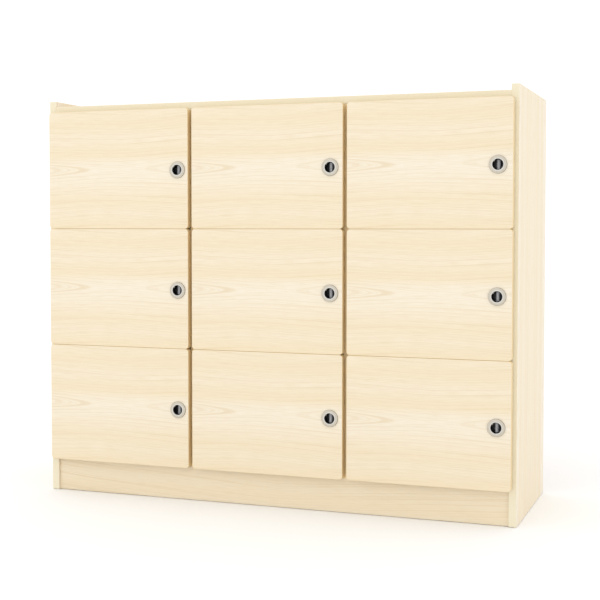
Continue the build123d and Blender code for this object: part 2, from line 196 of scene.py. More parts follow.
def piece(name, mesh, body, materials=(), stands_for=(), edge_radius=0.0):
    """Put a finished mesh in the cabinet as a named piece that moves with a body."""
    mesh.name = name
    for finish in materials:
        mesh.materials.append(finish)
    mesh.shade_smooth()
    mesh.set_sharp_from_angle(angle=math.radians(38))
    made = bpy.data.objects.new(name, mesh)
    bpy.context.scene.collection.objects.link(made)
    if edge_radius:
        rim = made.modifiers.new("moulded edge", "BEVEL")
        rim.width = edge_radius
        rim.segments = 2
        rim.limit_method = "ANGLE"
        rim.angle_limit = math.radians(50)
    normals = made.modifiers.new("flat faces stay flat", "WEIGHTED_NORMAL")
    normals.keep_sharp = True
    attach(made, body)
    if stands_for:
        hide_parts(*stands_for)
    return made


def turned(profile, segments):
    """Turn a profile of (radius, depth) points, in millimetres, about the Y axis.

    The map runs round the axis in u and along the profile in v, both in metres.
    """
    shape = bmesh.new()
    layer = shape.loops.layers.uv.new("UVMap")
    angles = [2 * math.pi * i / segments for i in range(segments)]
    rings = [[shape.verts.new((r * MM * math.cos(a), d * MM, r * MM * math.sin(a))) for a in angles]
             for r, d in profile]
    runs = [0.0]
    for (r0, d0), (r1, d1) in zip(profile, profile[1:] + profile[:1]):
        runs.append(runs[-1] + math.hypot(r1 - r0, d1 - d0) * MM)
    for i in range(len(profile)):
        here, there = rings[i], rings[(i + 1) % len(rings)]
        around = 2 * math.pi * max(profile[i][0], 1) * MM / segments
        for j in range(segments):
            k = (j + 1) % segments
            face = shape.faces.new((here[j], there[j], there[k], here[k]))
            corners = ((j, i), (j, i + 1), (j + 1, i + 1), (j + 1, i))
            for loop, (u, v) in zip(face.loops, corners):
                loop[layer].uv = (u * around, runs[v])
    return finished(shape)


def finished(shape):
    """A bmesh as a closed mesh whose faces point outwards."""
    bmesh.ops.remove_doubles(shape, verts=shape.verts, dist=1e-6)
    bmesh.ops.dissolve_degenerate(shape, dist=1e-7, edges=shape.edges)
    bmesh.ops.recalc_face_normals(shape, faces=shape.faces)
    mesh = bpy.data.meshes.new("shape")
    shape.to_mesh(mesh)
    shape.free()
    return mesh


def rounded_outline(x0, x1, z0, z1, radius, steps=5):
    """Corners of a rounded rectangle in X and Z, in millimetres."""
    points = []
    for cx, cz, start in ((x1 - radius, z1 - radius, 0), (x0 + radius, z1 - radius, 1),
                          (x0 + radius, z0 + radius, 2), (x1 - radius, z0 + radius, 3)):
        for i in range(steps + 1):
            a = math.pi / 2 * (start + i / steps)
            points.append((cx + radius * math.cos(a), cz + radius * math.sin(a)))
    return points


def prism(outline, y0, y1):
    """A block with this outline in X and Z, between two depths, all in millimetres."""
    shape = bmesh.new()
    ends = [[shape.verts.new((x * MM, y * MM, z * MM)) for x, z in outline] for y in (y0, y1)]
    for end in ends:
        shape.faces.new(end)
    for i in range(len(outline)):
        k = (i + 1) % len(outline)
        shape.faces.new((ends[0][i], ends[1][i], ends[1][k], ends[0][k]))
    return finished(shape)


def brick(x0, x1, y0, y1, z0, z1):
    return prism([(x0, z0), (x1, z0), (x1, z1), (x0, z1)], y0, y1)


def joined(meshes):
    shape = bmesh.new()
    for mesh in meshes:
        shape.from_mesh(mesh)
    made = bpy.data.meshes.new("joined")
    shape.to_mesh(made)
    shape.free()
    return made


def placed(mesh, place):
    """A copy of a mesh moved to a place."""
    copy = mesh.copy()
    copy.transform(Matrix.Translation(place))
    return copy


# ---- finishes -------------------------------------------------------------------------
def stretched_noise(tree, place, scale, detail, roughness=0.5):
    """Noise with its own number of features per metre along each axis."""
    place = add(tree, "ShaderNodeMapping", {"Vector": place, "Scale": scale}).outputs[0]
    return add(tree, "ShaderNodeTexNoise", {"Vector": place, "Scale": 1.0, "Detail": detail,
                                            "Roughness": roughness}).outputs[0]


def maple_print(tree, along, across, colours, repeat):
    """Printed maple: a pale heart band with open arches, honey flanks and fine growth lines.

    along and across are sockets in metres. Returns the colour and a height for the pores.
    """
    # Slow sway: the grain wanders about 4 mm to each side over some 500 mm.
    slow = add(tree, "ShaderNodeCombineXYZ", {0: along, 1: across}).outputs[0]
    sway = stretched_noise(tree, slow, (1.8, 5.0, 1.0), 1.5)
    sway = add(tree, "ShaderNodeMath", {0: sway, 1: 0.024, 2: -0.012},
               operation="MULTIPLY_ADD").outputs[0]
    swayed = add(tree, "ShaderNodeMath", {0: across, 1: sway}, operation="ADD").outputs[0]
    # Broad tone across the board: a pale heart 60 mm wide, a crisp honey band on its one side, a
    # soft one on the other, and lighter secondary bands further out.
    full = add(tree, "ShaderNodeMath", {0: repeat, 1: 2.0}, operation="MULTIPLY").outputs[0]
    share = add(tree, "ShaderNodeMath", {0: swayed, 1: repeat}, operation="ADD").outputs[0]
    share = add(tree, "ShaderNodeMath", {0: share, 1: full}, operation="PINGPONG").outputs[0]
    share = add(tree, "ShaderNodeMath", {0: share, 1: full}, operation="DIVIDE").outputs[0]
    tone = add(tree, "ShaderNodeValToRGB", {0: share})
    stops = ((0.0, 0.3), (0.12, 0.0), (0.22, 0.5), (0.30, 0.2), (0.40, 0.75), (0.47, 1.0), (0.54, 0.9),
             (0.59, 0.15), (0.62, 0.2), (0.70, 0.6), (0.80, 0.15), (0.87, 0.4), (1.0, 0.4))
    ramp = tone.color_ramp.elements
    for position, _ in stops[1:-1]:
        ramp.new(position)
    for stop, (_, level) in zip(ramp, stops):
        stop.color = (level, level, level, 1.0)
    # Growth lines of a flat-sawn board: they draw in to the heart at mid length and part at the ends.
    bent = add(tree, "ShaderNodeMath", {0: swayed, 1: repeat}, operation="PINGPONG").outputs[0]
    heart = add(tree, "ShaderNodeCombineXYZ", {0: bent, 1: 0.014}).outputs[0]
    ring = add(tree, "ShaderNodeVectorMath", {0: heart}, operation="LENGTH").outputs["Value"]
    taper = add(tree, "ShaderNodeCombineXYZ", {0: along, 1: 0.08}).outputs[0]
    taper = add(tree, "ShaderNodeVectorMath", {0: taper}, operation="LENGTH").outputs["Value"]
    ring = add(tree, "ShaderNodeMath", {0: taper, 1: -0.075, 2: ring},
               operation="MULTIPLY_ADD").outputs[0]
    # 3 mm between growth lines, each some 800 mm long.
    lines = add(tree, "ShaderNodeCombineXYZ", {0: ring, 1: along}).outputs[0]
    lines = stretched_noise(tree, lines, (330.0, 1.2, 1.0), 3.0, 0.6)
    lines = add(tree, "ShaderNodeMapRange", {0: lines, 1: 0.47, 2: 0.70},
                interpolation_type="SMOOTHSTEP").outputs[0]
    # Pores are 0.1 mm wide on the print; they are drawn 1 mm wide and 40 mm long to show.
    pores = stretched_noise(tree, slow, (25.0, 900.0, 1.0), 2.0)
    pores = add(tree, "ShaderNodeMapRange", {0: pores, 1: 0.42, 2: 0.72}).outputs[0]
    body = add(tree, "ShaderNodeMix", {0: tone.outputs[0], 6: colours.honey_grain,
                                       7: colours.pale_grain}, data_type="RGBA").outputs[2]
    weight = add(tree, "ShaderNodeMath", {0: lines, 1: 0.42}, operation="MULTIPLY").outputs[0]
    body = add(tree, "ShaderNodeMix", {0: weight, 6: body, 7: colours.grain_line},
               data_type="RGBA").outputs[2]
    weight = add(tree, "ShaderNodeMath", {0: pores, 1: 0.30}, operation="MULTIPLY").outputs[0]
    body = add(tree, "ShaderNodeMix", {0: weight, 6: body, 7: colours.grain_line},
               data_type="RGBA").outputs[2]
    height = add(tree, "ShaderNodeMath", {0: lines, 1: pores}, operation="ADD").outputs[0]
    return body, height


def satin_laminate(tree, shader, colour, height):
    """Melamine pressed on a fine pore plate: a soft sheen, with pores 0.05 mm deep."""
    bump = add(tree, "ShaderNodeBump", {"Height": height, "Strength": 0.25, "Distance": 0.00005},
               invert=True)
    gloss = add(tree, "ShaderNodeMapRange", {0: height, 1: 0.0, 2: 1.5, 3: 0.40, 4: 0.52})
    feed(tree, shader, {"Base Color": colour, "Normal": bump.outputs[0], "Roughness": gloss.outputs[0]})


def banding_colour(tree, place, colour):
    """Extruded edge banding: one flat tone with faint streaks 3 mm apart."""
    streaks = add(tree, "ShaderNodeTexNoise", {"Vector": place, "Scale": 330.0, "Detail": 2.0}).outputs[0]
    return add(tree, "ShaderNodeMix", {0: streaks, 6: colour, 7: darker(colour, 0.92)},
               data_type="RGBA").outputs[2]


def chipboard_colour(tree, place, colours):
    """Cut chipboard: flat flakes about 1.5 mm across, in tans from straw to dark brown."""
    flakes = add(tree, "ShaderNodeTexVoronoi", {"Vector": place, "Scale": 650.0}).outputs["Color"]
    flakes = add(tree, "ShaderNodeSeparateColor", {0: flakes}).outputs[0]
    return add(tree, "ShaderNodeMix", {0: flakes, 6: colours.core, 7: darker(colours.core, 0.45)},
               data_type="RGBA").outputs[2]


def board_finish(name, along, across, third, drift, upright, colours, edging, repeat):
    """Maple laminate on a carcass board, with banded front edges and a bare rear edge.

    along, across and third are axes. The pattern drifts as it goes along the third, so that boards
    of one finish differ. An upright board is banded at its top end too.
    """
    made, tree, shader = new_material(name)
    spot = add(tree, "ShaderNodeTexCoord").outputs
    place = spot["Object"]
    xyz = add(tree, "ShaderNodeSeparateXYZ", {0: place}).outputs
    shifted = add(tree, "ShaderNodeMath", {0: xyz[third], 1: drift, 2: xyz[across]},
                  operation="MULTIPLY_ADD").outputs[0]
    colour, height = maple_print(tree, xyz[along], shifted, colours, repeat)
    facing = add(tree, "ShaderNodeSeparateXYZ", {0: spot["Normal"]}).outputs
    banded = add(tree, "ShaderNodeMath", {0: facing["Y"], 1: -SQUARE_ON}, operation="LESS_THAN").outputs[0]
    if upright:
        end = add(tree, "ShaderNodeMath", {0: facing["Z"], 1: SQUARE_ON},
                  operation="GREATER_THAN").outputs[0]
        banded = add(tree, "ShaderNodeMath", {0: banded, 1: end}, operation="MAXIMUM").outputs[0]
    bare = add(tree, "ShaderNodeMath", {0: facing["Y"], 1: SQUARE_ON}, operation="GREATER_THAN").outputs[0]
    colour = add(tree, "ShaderNodeMix", {0: banded, 6: colour, 7: banding_colour(tree, place, edging)},
                 data_type="RGBA").outputs[2]
    colour = add(tree, "ShaderNodeMix", {0: bare, 6: colour, 7: chipboard_colour(tree, place, colours)},
                 data_type="RGBA").outputs[2]
    satin_laminate(tree, shader, colour, height)
    return made


def plinth_finish(colours, repeat):
    """Maple laminate on the plinth, whose face shows the grain lying down."""
    made, tree, shader = new_material("maple laminate plinth")
    spot = add(tree, "ShaderNodeTexCoord").outputs
    xyz = add(tree, "ShaderNodeSeparateXYZ", {0: spot["Object"]}).outputs
    lift = 0.09         # brings the pale heart of the print down on to the plinth
    lifted = add(tree, "ShaderNodeMath", {0: xyz["Z"], 1: lift}, operation="ADD").outputs[0]
    colour, height = maple_print(tree, xyz["X"], lifted, colours, repeat)
    satin_laminate(tree, shader, colour, height)
    return made


def door_finishes(colours, repeat):
    """The door's printed faces, its edge banding and its bored core."""
    face, tree, shader = new_material("maple laminate door face")
    uv = add(tree, "ShaderNodeUVMap", uv_map="UVMap").outputs[0]
    uv = add(tree, "ShaderNodeSeparateXYZ", {0: uv}).outputs
    colour, height = maple_print(tree, uv["X"], uv["Y"], colours, repeat)
    satin_laminate(tree, shader, colour, height)

    band, tree, shader = new_material("extruded edge banding")
    uv = add(tree, "ShaderNodeUVMap", uv_map="UVMap").outputs[0]
    stretched = add(tree, "ShaderNodeMapping", {"Vector": uv, "Scale": (0.08, 1.0, 1.0)}).outputs[0]
    colour = banding_colour(tree, stretched, colours.door_edging)
    feed(tree, shader, {"Base Color": colour, "Roughness": 0.45})

    core, tree, shader = new_material("cut chipboard")
    place = add(tree, "ShaderNodeTexCoord").outputs["Object"]
    feed(tree, shader, {"Base Color": chipboard_colour(tree, place, colours), "Roughness": 0.9})
    return face, band, core


def plated_metal(name, colour, roughness, turned_lines=False, metallic=1.0):
    """Satin plated metal: soft cloudy gloss. A turned ring has lathe lines, a bright inner lip, and an outer
    wall darkened as painted shade.
    """
    made, tree, shader = new_material(name)
    place = add(tree, "ShaderNodeTexCoord").outputs["Object"]
    cloud = add(tree, "ShaderNodeTexNoise", {"Vector": place, "Scale": 140.0, "Detail": 3.0}).outputs[0]
    gloss = add(tree, "ShaderNodeMapRange", {0: cloud, 1: 0.3, 2: 0.7, 3: roughness - 0.05,
                                            4: roughness + 0.07})
    tint = add(tree, "ShaderNodeMix", {0: cloud, 6: darker(colour, 0.92), 7: colour},
               data_type="RGBA").outputs[2]
    if turned_lines:
        uv = add(tree, "ShaderNodeUVMap", uv_map="UVMap").outputs[0]
        # Along the profile the lip ends at 5.6 mm and the field at 11.4 mm, where the side wall starts; from
        # there the outer round and side wall are tinted dark all round, as painted shade.
        run = add(tree, "ShaderNodeSeparateXYZ", {0: uv}).outputs["Y"]
        for start, code in ((5.6, "CBC4B6"), (11.4, "8E877A")):
            past = add(tree, "ShaderNodeMath", {0: run, 1: start * MM}, operation="GREATER_THAN").outputs[0]
            tint = add(tree, "ShaderNodeMix", {0: past, 6: tint, 7: linear(code)},
                       data_type="RGBA").outputs[2]
        # Lathe lines are 0.1 mm apart on the real ring; 0.4 mm is what shows.
        lines = stretched_noise(tree, uv, (6.0, 2500.0, 1.0), 1.0)
        bump = add(tree, "ShaderNodeBump", {"Height": lines, "Strength": 0.3, "Distance": 0.00004})
        feed(tree, shader, {"Normal": bump.outputs[0]})
    feed(tree, shader, {"Base Color": tint, "Roughness": gloss.outputs[0], "Metallic": metallic})
    return made


def moulded_plastic(name, colour, roughness):
    """Injection moulded plastic with a fine spark-eroded skin, about 1 mm between grains."""
    made, tree, shader = new_material(name)
    place = add(tree, "ShaderNodeTexCoord").outputs["Object"]
    skin = add(tree, "ShaderNodeTexNoise", {"Vector": place, "Scale": 900.0, "Detail": 2.0}).outputs[0]
    bump = add(tree, "ShaderNodeBump", {"Height": skin, "Strength": 0.35, "Distance": 0.00005})
    tint = add(tree, "ShaderNodeMix", {0: skin, 6: darker(colour, 0.85), 7: colour},
               data_type="RGBA").outputs[2]
    feed(tree, shader, {"Base Color": tint, "Normal": bump.outputs[0], "Roughness": roughness})
    return made


def hardboard(colours):
    """Back panel: pale foil towards the compartments, bare brown hardboard behind."""
    made, tree, shader = new_material("foil faced hardboard")
    spot = add(tree, "ShaderNodeTexCoord").outputs
    place = spot["Object"]
    facing = add(tree, "ShaderNodeSeparateXYZ", {0: spot["Normal"]}).outputs["Y"]
    bare = add(tree, "ShaderNodeMath", {0: facing, 1: SQUARE_ON}, operation="GREATER_THAN").outputs[0]
    # Felted fibres 0.5 mm wide, in clouds some 60 mm across.
    felt = add(tree, "ShaderNodeTexNoise", {"Vector": place, "Scale": 1800.0, "Detail": 2.0}).outputs[0]
    cloud = add(tree, "ShaderNodeTexNoise", {"Vector": place, "Scale": 16.0, "Detail": 4.0}).outputs[0]
    mottle = add(tree, "ShaderNodeMath", {0: felt, 1: cloud}, operation="MULTIPLY").outputs[0]
    mottle = add(tree, "ShaderNodeMapRange", {0: mottle, 1: 0.12, 2: 0.40}).outputs[0]
    brown = add(tree, "ShaderNodeMix", {0: mottle, 6: linear("AE8B5A"), 7: linear("BD9B69")},
                data_type="RGBA").outputs[2]
    foil = add(tree, "ShaderNodeMix", {0: cloud, 6: colours.honey_grain, 7: colours.pale_grain},
               data_type="RGBA").outputs[2]
    both = add(tree, "ShaderNodeMix", {0: bare, 6: foil, 7: brown}, data_type="RGBA").outputs[2]
    bump = add(tree, "ShaderNodeBump", {"Height": felt, "Strength": 0.2, "Distance": 0.0001})
    feed(tree, shader, {"Base Color": both, "Normal": bump.outputs[0], "Roughness": 0.62})
    return made


def beech():
    """Beech dowels: pinkish tan with short dark flecks along X."""
    made, tree, shader = new_material("beech")
    place = add(tree, "ShaderNodeTexCoord").outputs["Object"]
    flecks = stretched_noise(tree, place, (300.0, 1200.0, 1200.0), 2.0)
    colour = add(tree, "ShaderNodeMix", {0: flecks, 6: linear("B98A5A"), 7: linear("DDB588")},
                 data_type="RGBA").outputs[2]
    feed(tree, shader, {"Base Color": colour, "Roughness": 0.7})
    return made


def clothe(finish, *nodes):
    """Give CAD nodes a finish in place of the plain one they were packed with."""
    for node in nodes:
        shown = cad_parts[node]
        shown.data.materials.clear()
        shown.data.materials.append(finish)


def shared(name):
    return bpy.data.materials[name]


# ---- geometry trees --------------------------------------------------------------------
def start_tree(name, inputs):
    """A geometry tree with these named inputs, and the node that hands them out."""
    tree = bpy.data.node_groups.new(name, "GeometryNodeTree")
    for label, kind in inputs.items():
        tree.interface.new_socket(label, in_out="INPUT", socket_type=kind)
    tree.interface.new_socket("Geometry", in_out="OUTPUT", socket_type="NodeSocketGeometry")
    return tree, add(tree, "NodeGroupInput").outputs


def door_tree(face, band, core):
    """A door leaf: a rounded rim swept round the board, two faces, and bores cut through.

    It is made lying down: x to the right, y up the door, the front face at z = 0.
    """
    labels = ("Width", "Height", "Thickness", "Corner Radius", "Front Round", "Back Round", "Lock Radius",
              "Lock X", "Lock Y", "Cup Radius", "Cup Depth", "Cup X", "Cup Low", "Cup High")
    inputs = {label: "NodeSocketFloat" for label in labels}
    inputs["Place"] = "NodeSocketVector"
    tree, size = start_tree("door leaf", inputs)
    front, back, thick = size["Front Round"], size["Back Round"], size["Thickness"]
    twice = add(tree, "ShaderNodeMath", {0: front, 1: 2.0}, operation="MULTIPLY").outputs[0]
    width = add(tree, "ShaderNodeMath", {0: size["Width"], 1: twice}, operation="SUBTRACT").outputs[0]
    height = add(tree, "ShaderNodeMath", {0: size["Height"], 1: twice}, operation="SUBTRACT").outputs[0]
    corner = add(tree, "ShaderNodeMath", {0: size["Corner Radius"], 1: front},
                 operation="SUBTRACT").outputs[0]
    path = add(tree, "GeometryNodeCurvePrimitiveQuadrilateral", {"Width": width, "Height": height}).outputs[0]
    path = add(tree, "GeometryNodeFilletCurve", {"Curve": path, "Count": 9, "Radius": corner},
               mode="POLY").outputs[0]
    path = add(tree, "GeometryNodeSetCurveNormal", {"Curve": path}, mode="Z_UP").outputs[0]
    # Rim profile: x outwards from the front face's border, y into the board.
    straight_end = add(tree, "ShaderNodeMath", {0: thick, 1: back}, operation="SUBTRACT").outputs[0]
    back_middle = add(tree, "ShaderNodeMath", {0: front, 1: back}, operation="SUBTRACT").outputs[0]
    arcs = []
    for radius, start, x, y in ((front, -math.pi / 2, 0.0, front), (back, 0.0, back_middle, straight_end)):
        arc = add(tree, "GeometryNodeCurveArc", {"Resolution": 5, "Radius": radius, "Start Angle": start,
                                                "Sweep Angle": math.pi / 2}, mode="RADIUS").outputs[0]
        middle = add(tree, "ShaderNodeCombineXYZ", {0: x, 1: y}).outputs[0]
        arcs.append(add(tree, "GeometryNodeTransform", {"Geometry": arc, "Translation": middle}).outputs[0])
    flat_start = add(tree, "ShaderNodeCombineXYZ", {0: front, 1: front}).outputs[0]
    flat_end = add(tree, "ShaderNodeCombineXYZ", {0: front, 1: straight_end}).outputs[0]
    flat = add(tree, "GeometryNodeCurvePrimitiveLine", {"Start": flat_start, "End": flat_end}).outputs[0]
    profile = add(tree, "GeometryNodeJoinGeometry")
    for part in (arcs[0], flat, arcs[1]):
        tree.links.new(part, profile.inputs[0])
    rim = add(tree, "GeometryNodeCurveToMesh", {"Curve": path,
                                               "Profile Curve": profile.outputs[0]}).outputs[0]
    rim = add(tree, "GeometryNodeMergeByDistance", {"Geometry": rim, "Distance": 1e-5}).outputs[0]
    # The two open borders of the rim become the faces.
    lone = add(tree, "FunctionNodeCompare", {2: add(tree, "GeometryNodeInputMeshEdgeNeighbors").outputs[0],
                                            3: 1}, data_type="INT", operation="EQUAL").outputs[0]
    spot = add(tree, "GeometryNodeInputPosition").outputs[0]
    axes = add(tree, "ShaderNodeSeparateXYZ", {0: spot}).outputs
    half = add(tree, "ShaderNodeMath", {0: thick, 1: -0.5}, operation="MULTIPLY").outputs[0]
    leaf = add(tree, "GeometryNodeJoinGeometry")
    along = add(tree, "ShaderNodeMath", {0: axes["X"], 1: axes["Y"]}, operation="ADD").outputs[0]
    rim_map = add(tree, "ShaderNodeCombineXYZ", {0: along, 1: axes["Z"]}).outputs[0]
    marked = add(tree, "GeometryNodeStoreNamedAttribute", {
        "Geometry": rim, "Name": "UVMap", "Value": rim_map}, domain="CORNER", data_type="FLOAT2").outputs[0]
    marked = add(tree, "GeometryNodeStoreNamedAttribute", {
        "Geometry": marked, "Name": "banded", "Value": True}, domain="FACE", data_type="BOOLEAN").outputs[0]
    tree.links.new(marked, leaf.inputs[0])
    for side, fall in (("GREATER_THAN", 0.0), ("LESS_THAN", -1.0)):
        level = add(tree, "ShaderNodeMath", {0: axes["Z"], 1: half}, operation=side).outputs[0]
        chosen = add(tree, "FunctionNodeBooleanMath", {0: lone, 1: level}, operation="AND").outputs[0]
        border = add(tree, "GeometryNodeMeshToCurve", {"Mesh": rim, "Selection": chosen}).outputs[0]
        sheet = add(tree, "GeometryNodeFillCurve", {"Curve": border}, mode="TRIANGLES").outputs[0]
        sheet = add(tree, "GeometryNodeStoreNamedAttribute", {
            "Geometry": sheet, "Name": "UVMap", "Value": spot},
            domain="CORNER", data_type="FLOAT2").outputs[0]
        if fall:
            drop = add(tree, "ShaderNodeMath", {0: thick, 1: fall}, operation="MULTIPLY").outputs[0]
            drop = add(tree, "ShaderNodeCombineXYZ", {2: drop}).outputs[0]
            sheet = add(tree, "GeometryNodeTransform", {"Geometry": sheet, "Translation": drop}).outputs[0]
            sheet = add(tree, "GeometryNodeFlipFaces", {"Mesh": sheet}).outputs[0]
        tree.links.new(sheet, leaf.inputs[0])
    leaf = add(tree, "GeometryNodeMergeByDistance", {"Geometry": leaf.outputs[0],
                                                    "Distance": 1e-5}).outputs[0]
    # Bores: the lock's right through, the hinge cups' from the back.
    bores = add(tree, "GeometryNodeJoinGeometry")
    bottom = add(tree, "ShaderNodeMath", {0: thick, 1: -1.0}, operation="MULTIPLY").outputs[0]
    lock_length = add(tree, "ShaderNodeMath", {0: thick, 1: 3.0}, operation="MULTIPLY").outputs[0]
    cup_length = add(tree, "ShaderNodeMath", {0: size["Cup Depth"], 1: 2.0}, operation="MULTIPLY").outputs[0]
    for radius, length, x, y in ((size["Lock Radius"], lock_length, size["Lock X"], size["Lock Y"]),
                                 (size["Cup Radius"], cup_length, size["Cup X"], size["Cup Low"]),
                                 (size["Cup Radius"], cup_length, size["Cup X"], size["Cup High"])):
        bore = add(tree, "GeometryNodeMeshCylinder", {"Vertices": 64, "Radius": radius,
                                                     "Depth": length}).outputs[0]
        middle = add(tree, "ShaderNodeCombineXYZ", {0: x, 1: y, 2: bottom}).outputs[0]
        bore = add(tree, "GeometryNodeTransform", {"Geometry": bore, "Translation": middle}).outputs[0]
        tree.links.new(bore, bores.inputs[0])
    cutters = add(tree, "GeometryNodeStoreNamedAttribute", {
        "Geometry": bores.outputs[0], "Name": "bored", "Value": True}, domain="FACE", data_type="BOOLEAN")
    cut = add(tree, "GeometryNodeMeshBoolean", {0: leaf, 1: cutters.outputs[0]}, operation="DIFFERENCE",
              solver="EXACT").outputs[0]
    stood = add(tree, "GeometryNodeTransform", {"Geometry": cut, "Translation": size["Place"],
                                               "Rotation": (math.pi / 2, 0.0, 0.0)}).outputs[0]
    made = add(tree, "GeometryNodeRealizeInstances", {0: stood}).outputs[0]
    made = add(tree, "GeometryNodeSetMaterial", {"Geometry": made, "Material": face}).outputs[0]
    for label, finish in (("banded", band), ("bored", core)):
        chosen = add(tree, "GeometryNodeInputNamedAttribute", {"Name": label}, data_type="BOOLEAN").outputs[0]
        made = add(tree, "GeometryNodeSetMaterial", {"Geometry": made, "Selection": chosen,
                                                    "Material": finish}).outputs[0]
    add(tree, "NodeGroupOutput", {0: made})
    return tree


def screw_tree(finish):
    """Screw heads on points: a frustum with a cross recess, facing the way each point says."""
    tree, size = start_tree("screw heads", {
        "Points": "NodeSocketGeometry", "Under Radius": "NodeSocketFloat", "Top Radius": "NodeSocketFloat",
        "Head Height": "NodeSocketFloat", "Recess Width": "NodeSocketFloat", "Seed": "NodeSocketInt"})
    head = add(tree, "GeometryNodeMeshCone", {"Vertices": 20, "Radius Top": size["Top Radius"],
                                             "Radius Bottom": size["Under Radius"],
                                             "Depth": size["Head Height"]}).outputs[0]
    # Each blade of the cross is its own cutter: joined into one, their overlap would empty the head.
    cut = add(tree, "GeometryNodeMeshBoolean", {0: head}, operation="DIFFERENCE", solver="EXACT")
    blade = add(tree, "ShaderNodeMath", {0: size["Recess Width"], 1: 0.28}, operation="MULTIPLY").outputs[0]
    top = add(tree, "ShaderNodeCombineXYZ", {2: size["Head Height"]}).outputs[0]
    for x, y in ((size["Recess Width"], blade), (blade, size["Recess Width"])):
        block = add(tree, "ShaderNodeCombineXYZ", {0: x, 1: y, 2: size["Head Height"]}).outputs[0]
        block = add(tree, "GeometryNodeMeshCube", {"Size": block}).outputs[0]
        block = add(tree, "GeometryNodeTransform", {"Geometry": block, "Translation": top}).outputs[0]
        tree.links.new(block, cut.inputs[1])
    facing = add(tree, "GeometryNodeInputNamedAttribute", {"Name": "facing"},
                 data_type="FLOAT_VECTOR").outputs[0]
    turn = add(tree, "FunctionNodeAlignRotationToVector", {"Vector": facing}, axis="Z").outputs[0]
    heads = add(tree, "GeometryNodeInstanceOnPoints", {"Points": size["Points"], "Instance": cut.outputs[0],
                                                      "Rotation": turn}).outputs[0]
    spin = add(tree, "FunctionNodeRandomValue", {2: 0.0, 3: math.pi, "Seed": size["Seed"]}, data_type="FLOAT")
    spin = add(tree, "ShaderNodeCombineXYZ", {2: spin.outputs[1]}).outputs[0]
    heads = add(tree, "GeometryNodeRotateInstances", {"Instances": heads, "Rotation": spin}).outputs[0]
    made = add(tree, "GeometryNodeRealizeInstances", {0: heads}).outputs[0]
    made = add(tree, "GeometryNodeSetMaterial", {"Geometry": made, "Material": finish}).outputs[0]
    add(tree, "NodeGroupOutput", {0: made})
    return tree


def screw_points(places):
    """Points that each carry the direction their screw faces."""
    mesh = bpy.data.meshes.new("screw points")
    mesh.from_pydata([tuple(spot) for spot, _ in places], [], [])
    facing = mesh.attributes.new("facing", "FLOAT_VECTOR", "POINT")
    for i, (_, way) in enumerate(places):
        facing.data[i].vector = way
    return mesh


# ---- operators -------------------------------------------------------------------------
class LOCKER_OT_boards(bpy.types.Operator):
    """Finish the carcass boards, the back panel, the dowels and the glides"""
    bl_idname = "locker.boards"
    bl_label = "Carcass boards"

    def execute(self, context):
        colours, repeat = context.scene.locker_colours, context.scene.locker_sizes.decor_repeat
        side = board_finish("maple laminate side", "Z", "Y", "X", 0.31, True,
                            colours, colours.edging, repeat)
        # The dividers' front edges, seen only deep in the gaps between doors, take the warmer, darker door
        # edging in place of the carcass edging: painted shade.
        divider = board_finish("maple laminate divider", "Z", "Y", "X", 0.31, False,
                               colours, colours.door_edging, repeat)
        lying = board_finish("maple laminate lying", "X", "Y", "Z", 0.43, False,
                             colours, colours.edging, repeat)
        clothe(side, "side_panel_left", "side_panel_right")
        clothe(divider, "divider_left", "divider_right")
        clothe(lying, "top_panel", "bottom_panel", "shelves")
        clothe(plinth_finish(colours, repeat), "plinth_boards")
        clothe(hardboard(colours), "back_panel")
        clothe(beech(), "joint_dowels")
        clothe(moulded_plastic("moulded nylon glide", linear("DAD6CC"), 0.5), "floor_glides")
        return {"FINISHED"}


class LOCKER_OT_doors(bpy.types.Operator):
    """Make the nine door leaves"""
    bl_idname = "locker.doors"
    bl_label = "Door leaves"

    def execute(self, context):
        sizes = context.scene.locker_sizes
        finishes = door_finishes(context.scene.locker_colours, sizes.decor_repeat)
        tree = door_tree(*finishes)
        for tag, low, high, _, axis, cups in DOORS:
            middle = (low + high) / 2
            mesh = grown(tree, {
                "Width": high.x - low.x, "Height": high.z - low.z, "Thickness": high.y - low.y,
                "Corner Radius": sizes.corner_radius, "Front Round": sizes.front_round,
                "Back Round": sizes.back_round, "Lock Radius": sizes.lock_bore,
                "Lock X": axis.x - middle.x, "Lock Y": axis.z - middle.z,
                "Cup Radius": sizes.cup_bore, "Cup Depth": sizes.cup_depth,
                "Cup X": cups[0].x - middle.x, "Cup Low": cups[0].z - middle.z,
                "Cup High": cups[1].z - middle.z, "Place": (middle.x, low.y, middle.z)})
            for label in ("banded", "bored"):
                mesh.attributes.remove(mesh.attributes[label])
            piece(f"door_leaf_{tag}", mesh, f"door_{tag}", (), [f"door_panel_{tag}"])
        return {"FINISHED"}


